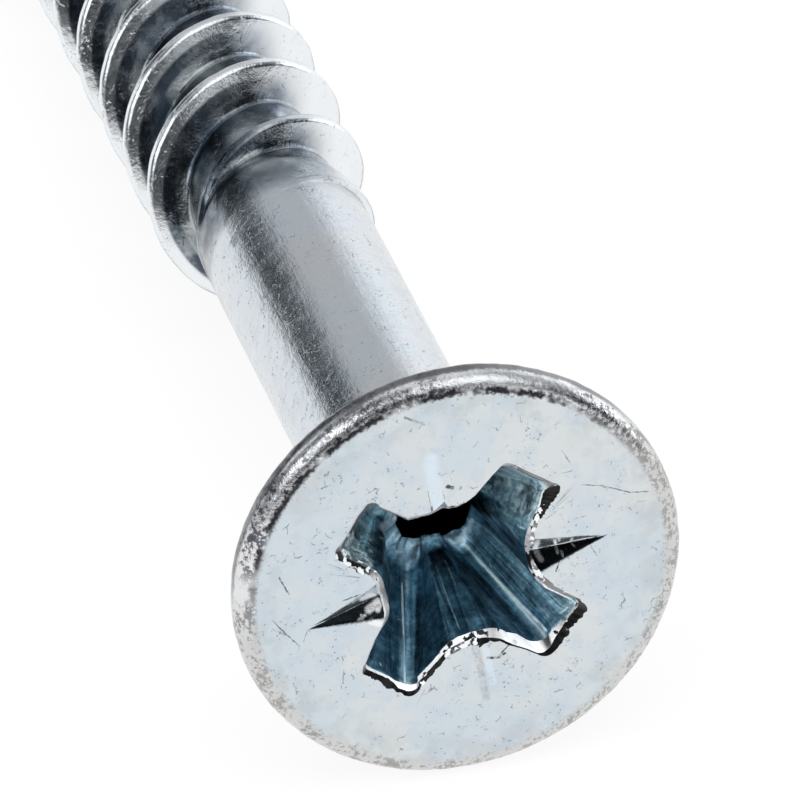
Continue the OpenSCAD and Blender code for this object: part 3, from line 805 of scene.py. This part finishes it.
def face_material(tint):
    """Zinc plating on the face and the rim: worn and scratched, with grains on the rim, and with painted
    reflections on the rim and on and beside the tick marks.
    """
    n = Nodes(bpy.data.materials.new("zinc_head"))
    spot, seen = face_place(n)
    wobble = n.vmath("ADD", seen, n.vmath("MULTIPLY", n.noise(spot, 16.0, 2.0, out=1), (0.03, 0.03, 0.0)))
    wobble = n.vmath("MULTIPLY_ADD", wobble, (1.0, 1.0, 0.0), (-0.015, -0.015, 0.0))
    scratched = n.step(n.noise(spot, 13.0, 3.0, 0.6), 0.4, 0.6, 0.3, 1.0)
    scratched = n.times(strokes(n, wobble, SCRATCHES), scratched)
    chipped = strokes(n, wobble, CHIPS)
    # Where bluish reflections are painted beside the upper and lower tick marks
    tick_reflection = n.times(strokes(n, wobble, TICK_REFLECTIONS), n.step(n.noise(spot, 3.0, 3.0), 0.3, 0.6, 0.5, 1.0))
    rim = n.split("marks")[2]
    depth = n.dot(seen, (0.0, 0.0, 1.0))
    flat = n.step(depth, 0.5, 0.35)

    # Cool and warm patches, wear marks and scratches
    cloud = n.noise(spot, 0.6, 3.0)
    blotch = n.noise(spot, 2.6, 4.0, 0.6)
    colour = n.mix(n.step(cloud, 0.4, 0.6), tint, shaded(tint, 1.1, 1.04, 0.985))
    colour = n.mix(n.step(blotch, 0.45, 0.62, 0.0, 0.6), colour, shaded(tint, 0.93, 0.965, 1.0))
    colour, ink = marks_of_wear(n, spot, colour)
    # Painted bluish reflections beside the upper and lower tick marks
    colour = n.mix(tick_reflection, colour, REFLECTION_BLUE)
    colour = n.mix(n.times(scratched, flat), colour, SCRATCH_DARK)

    # A duller border, and the rim with its black and bright grains, partly grain and partly painted
    # reflection: on its upper side the dark grains darker and the rest lighter, and its outer upper part
    # painted dark as shade
    grains = n.noise(spot, 11.0, 4.0, 0.7)
    patches = n.noise(spot, 2.2, 2.0)
    radius = n.vmath("LENGTH", n.vmath("MULTIPLY", seen, (1.0, 1.0, 0.0)), out=1)
    border = n.step(radius, 2.9, 3.5)
    dull = n.times(border, n.step(patches, 0.42, 0.62, 0.0, 0.25))
    colour = n.mix(dull, colour, BORDER_GREY)
    upper = n.step(n.dot(seen, (-0.35, 1.0, 0.0)), 0.2, 2.6)
    pit = n.mix(upper, LOW_GRAIN_SHADE, TOP_GRAIN_SHADE)
    grain = n.step(n.math("MULTIPLY_ADD", patches, 0.5, grains), 0.67, 0.77)
    grain_and_reflection = n.mix(grain, pit, n.mix(upper, LOW_RIM, TOP_RIM))
    rough_part = n.most(strokes(n, seen, RIM_SPECKS), n.step(upper, 0.66, 0.44, 0.0, 1.0))
    grain_and_reflection = n.mix(rough_part, PLAIN_RIM, grain_and_reflection)
    colour = n.mix(n.times(rim, 0.9), colour, grain_and_reflection)
    behind = n.step(n.math("MULTIPLY_ADD", grains, 0.2, depth), 0.31, 0.4)
    colour = n.mix(n.times(behind, n.step(upper, 0.3, 0.9, 0.0, 0.8)), colour, OUTER_RIM)

    # A painted dark reflection: a ragged line where the upper rim meets the face
    brink = n.math("ABSOLUTE", n.math("SUBTRACT", n.math("MULTIPLY_ADD", grains, 0.24, radius), 3.83))
    brink = n.times(n.step(brink, 0.1, 0.02), n.times(upper, n.step(patches, 0.36, 0.52)))
    colour = n.mix(brink, colour, RIM_LINE)

    # Painted dark reflection on the lower sides of the left and right tick marks, and their chips
    side_shade = n.most(dark_facet(n, wobble, TICKS[0], 0.4, -1), dark_facet(n, wobble, TICKS[1], 0.42, 1))
    colour = n.mix(n.times(side_shade, flat), colour, FACET_DARK)
    colour = n.mix(n.times(chipped, flat), colour, CHIP_WHITE)

    rough = n.math("ADD", n.step(blotch, 0.3, 0.75, 0.14, 0.26), n.times(ink, 0.25))
    rough = n.math("MULTIPLY_ADD", rim, -0.06, rough)
    height = n.times(grains, n.math("MULTIPLY_ADD", rim, 0.7, 0.4))
    return n.plating(colour, 1.0, rough, height)


def recess_material():
    """The walls of the recess, dark blue with streaks, as painted shade and reflection, and its worn edge,
    painted dark or white as reflection, with chips of the opposite tone.
    """
    n = Nodes(bpy.data.materials.new("zinc_recess"))
    spot, seen = face_place(n)
    wobble = n.vmath("ADD", seen, n.vmath("SCALE", n.noise(spot, 9.0, 2.0, out=1), scale=0.03))
    wobble = n.vmath("SUBTRACT", wobble, (0.015, 0.015, 0.015))
    # Painted highlights and painted shade on the walls
    painted_highlights = strokes(n, wobble, WALL_LIGHTS)
    painted_shade = strokes(n, wobble, WALL_DARKS)
    flow = n.held("flow")
    worn = n.step(n.split("marks")[1], 0.45, 0.55)
    tone, crease, chips = n.split("paint")

    # The walls: painted shade and reflection, blue where dark and green where light, lighter along their
    # corners, with painted highlights along their creases and streaks that run inwards
    streaks = n.noise(n.vmath("MULTIPLY", flow, (10.0, 0.8, 1.0)), 1.0, 4.0, 0.65)
    thin = n.noise(n.vmath("MULTIPLY", flow, (34.0, 1.3, 1.0)), 1.0, 2.0, 0.6)
    mottle = n.noise(spot, 9.0, 4.0, 0.7)
    broad = n.noise(spot, 2.4, 3.0, 0.6)
    light = n.times(tone, n.step(streaks, 0.3, 0.72, 1.1, 1.75))
    light = n.times(light, n.step(thin, 0.3, 0.72, 0.93, 1.08))
    light = n.times(light, n.step(mottle, 0.3, 0.72, 0.7, 1.4))
    light = n.times(light, n.step(broad, 0.36, 0.6, 0.62, 1.2))
    wall = n.mix(n.step(light, 0.5, 1.9), WALL_BLUE, WALL_GREEN)
    wall = n.mix(1.0, wall, n.grey(light), "MULTIPLY")
    # Painted highlights in soft patches where the walls are lightest and along the light strokes, then
    # painted shade along the dark strokes
    highlight_patches = n.step(n.noise(spot, 4.0, 4.0, 0.75), 0.42, 0.6)
    highlight_patches = n.times(highlight_patches, n.step(tone, 1.0, 1.3, 0.0, 0.9))
    lit = n.times(painted_highlights, n.step(mottle, 0.35, 0.6, 0.6, 1.0))
    lit = n.most(lit, n.times(highlight_patches, n.step(mottle, 0.38, 0.6, 0.25, 1.0)))
    wall = n.mix(lit, wall, WALL_LIGHT)
    wall = n.mix(painted_shade, wall, WALL_DARK)
    wall = n.mix(n.times(crease, n.step(thin, 0.25, 0.6, 0.5, 1.0)), wall, WALL_CREASE)

    # The worn edge: painted dark or bright reflection, with chips of the opposite tone
    grit = n.vmath("ADD", spot, n.vmath("SCALE", n.noise(spot, 16.0, 3.0, 0.6, out=1), scale=0.1))
    lot = n.add("ShaderNodeSeparateColor", {0: n.cells(grit, 12.0, out=1)})
    chip = n.step(n.math("SUBTRACT", lot, chips), 0.02, -0.02)
    other = n.math("SUBTRACT", n.step(tone, 0.35, 0.55, 0.95, 0.04), tone)
    edge = n.math("MULTIPLY_ADD", chip, other, tone)
    edge_colour = n.mix(1.0, EDGE_WHITE, n.grey(edge), "MULTIPLY")
    colour = n.mix(worn, wall, edge_colour)

    # Less metal where the edge is painted bright and where the walls have painted highlights
    bright = n.times(worn, n.step(edge, 0.2, 0.5))
    pale = n.most(n.times(bright, 0.9), n.times(lit, 0.75))
    metal = n.math("SUBTRACT", 1.0, pale)
    height = n.math("MULTIPLY_ADD", thin, 0.2, n.times(streaks, 0.8))
    return n.plating(colour, metal, 0.3, height)


def shank_material(tint):
    """Zinc plating on the shank and the thread: grain, faint lines along it, and on the thread painted shade
    in its grooves and painted highlights.
    """
    n = Nodes(bpy.data.materials.new("zinc_shank"))
    spot = n.spot()
    groove, crest, thread = n.split("marks")
    cloud = n.noise(spot, 0.5, 3.0)
    blotch = n.noise(spot, 2.3, 4.0, 0.6)
    colour = n.mix(n.step(cloud, 0.38, 0.62), tint, shaded(tint, 1.05, 1.0, 0.96))
    colour = n.mix(n.step(blotch, 0.5, 0.7, 0.0, 0.4), colour, shaded(tint, 0.84, 0.86, 0.9))
    colour, ink = marks_of_wear(n, spot, colour)

    # The thread: painted shade in its grooves, darker on its left side, and painted highlights on its right
    # side, on the outer part of its left side, on its crests and as gleams in its left grooves
    side = n.dot(spot, (1.0, 0.0, 0.0))
    groove_shade = n.times(groove, n.step(n.noise(spot, 1.8, 4.0, 0.6), 0.3, 0.6, 0.55, 1.0))
    groove_shade = n.times(groove_shade, n.step(side, 1.3, 0.5, 0.35, 1.0))
    colour = n.mix(n.times(groove_shade, 0.85), colour, GROOVE_SHADE_BLUE)
    side_shade = n.step(n.noise(spot, 2.2, 4.0, 0.65), 0.3, 0.56, 0.25, 1.0)
    side_shade = n.times(side_shade, n.step(groove, 0.12, 0.36, 0.0, 0.92))
    left = n.step(side, 0.8, -0.9)
    pale = n.most(n.step(side, 0.7, 1.5), n.times(left, n.step(groove, 0.3, 0.12)))
    gleam = n.step(n.noise(spot, 0.8, 2.0), 0.42, 0.62, 0.0, 0.6)
    gleam = n.times(n.step(groove, 0.75, 0.95), gleam)
    colour = n.mix(n.times(n.times(thread, left), side_shade), colour, SIDE_SHADE_BLUE)
    colour = n.mix(n.times(thread, pale), colour, SIDE_HIGHLIGHT)
    colour = n.mix(n.times(gleam, left), colour, GLEAM_GREY)
    colour = n.mix(n.times(crest, 0.8), colour, CREST_HIGHLIGHT)

    # Relief: grain everywhere, and lines along the smooth part
    along = n.noise(n.vmath("MULTIPLY", n.held("flow"), (7.0, 0.8, 0.0)), 1.0, 4.0, 0.65)
    grain = n.noise(spot, 13.0, 4.0, 0.7)
    fine = n.noise(spot, 30.0, 3.0, 0.6)
    smooth = n.math("SUBTRACT", 1.0, thread, clamp=True)
    height = n.math("ADD", n.times(grain, 0.5), n.times(fine, 0.2))
    height = n.math("ADD", height, n.times(n.times(along, smooth), 0.9))
    height = n.math("ADD", height, n.times(n.noise(spot, 4.0, 3.0), 0.9))
    height = n.math("SUBTRACT", height, n.times(ink, 0.5))
    rough = n.math("ADD", n.step(blotch, 0.3, 0.75, 0.12, 0.22), n.times(ink, 0.25))
    return n.plating(colour, 1.0, rough, height)


head = build_head()
shank = build_shank()
head.data.materials.append(recess_material())
head.data.materials.append(face_material(FACE_ZINC))
shank.data.materials.append(shank_material(SHANK_ZINC))
for piece in (head, shank):
    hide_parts("screw")
    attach(piece, "root")

# The floor is pale: the camera and the metal see it white, and it keeps the shadow of the screw
FLOOR_HALF = 4.0
floor_mesh = bpy.data.meshes.new("floor")
corners = [(x * FLOOR_HALF, y * FLOOR_HALF, 0) for x, y in ((-1, -1), (1, -1), (1, 1), (-1, 1))]
floor_mesh.from_pydata(corners, [], [(0, 1, 2, 3)])
floor = add_object("floor", floor_mesh)
n = Nodes(bpy.data.materials.new("floor"))
paths = n.tree.nodes.new("ShaderNodeLightPath")
seen = n.most(paths.outputs["Is Camera Ray"], paths.outputs["Is Glossy Ray"])
seen = n.most(seen, paths.outputs["Is Transmission Ray"])
plain = n.add("ShaderNodeBsdfDiffuse", {"Color": (0.93, 0.93, 0.93, 1)})
white = n.add("ShaderNodeEmission", {"Color": (1, 1, 1, 1), "Strength": 1.0})
mixed = n.add("ShaderNodeMixShader", {0: n.times(seen, 0.9), 1: plain, 2: white})
n.add("ShaderNodeOutputMaterial", {"Surface": mixed})
floor_mesh.materials.append(n.owner)

# Soft studio light: dim behind the camera, brighter beyond the screw, with soft panels and one dark patch,
# and bluish where it is dim
world = bpy.data.worlds.new("studio")
scene.world = world
n = Nodes(world)
look = n.add("ShaderNodeTexCoord", out=0)
north = n.dot(look, (0.0, 1.0, 0.0))
total = n.step(north, -0.35, 0.35, 0.02, 0.3)


def cone(direction, inner, outer, low, high):
    """High within the inner angle round a direction, low past the outer one, both in degrees."""
    d = np.array(direction) / np.linalg.norm(direction)
    edges = [math.cos(math.radians(angle)) for angle in (outer, inner)]
    return n.step(n.dot(look, tuple(d)), *edges, low, high)


for way, inner_angle, outer_angle, strength in (
        ((0.05, 0.86, 0.5), 12, 45, 0.26),
        ((0.85, 0.5, 0.2), 15, 45, 0.96),
        ((0.97, -0.1, 0.2), 6, 16, 2.0),
        ((-0.65, -0.49, 0.59), 12, 26, 1.7),
        ((-0.62, 0.63, 0.47), 8, 18, 1.2),
        ((0.0, 0.35, 0.93), 10, 35, 0.5),
        ((0.3, -0.45, 0.84), 12, 32, 1.3),
        ((-0.05, -0.985, 0.18), 4, 13, 0.6),
        ((0.45, -0.88, 0.14), 6, 18, 1.1)):
    total = n.math("ADD", total, cone(way, inner_angle, outer_angle, 0.0, strength))
total = n.times(total, cone((-0.46, 0.855, 0.23), 9, 17, 1.0, 0.13))
paths = n.tree.nodes.new("ShaderNodeLightPath")
level = n.most(total, paths.outputs["Is Camera Ray"])
shade = n.mix(n.step(level, 0.5, 0.05), STUDIO_LIGHT, STUDIO_DIM)
shade = n.mix(1.0, shade, n.grey(level), "MULTIPLY")
back = n.add("ShaderNodeBackground", {"Color": shade, "Strength": 1.0})
n.add("ShaderNodeOutputWorld", {"Surface": back})

# A broad lamp from above lights the floor
lamp_data = bpy.data.lights.new("overhead", "SUN")
lamp_data.energy = 1.8
lamp_data.angle = math.radians(50)
lamp = add_object("overhead", lamp_data)
lamp.rotation_euler = (math.radians(18), math.radians(-10), 0)
lamp.visible_glossy = False

# The camera, at the angle of the photograph and with a long lens
camera_data = bpy.data.cameras.new("camera")
camera_data.lens = 522.577
camera_data.sensor_width = 36.0
camera_data.clip_start = 0.01
camera_data.clip_end = 20.0
camera = add_object("camera", camera_data)
side = (0.9664668, -0.2567916, 0.0)
rise = (0.14636121, 0.55084843, 0.82167171)
away = (-0.21099839, -0.79411843, 0.56996105)
stand = (-42.76507869, -172.68127273, 120.53716584)
camera.matrix_world = Matrix([(side[k], rise[k], away[k], stand[k] * MM) for k in range(3)] + [(0, 0, 0, 1)])
scene.camera = camera

scene.view_settings.view_transform = "Standard"
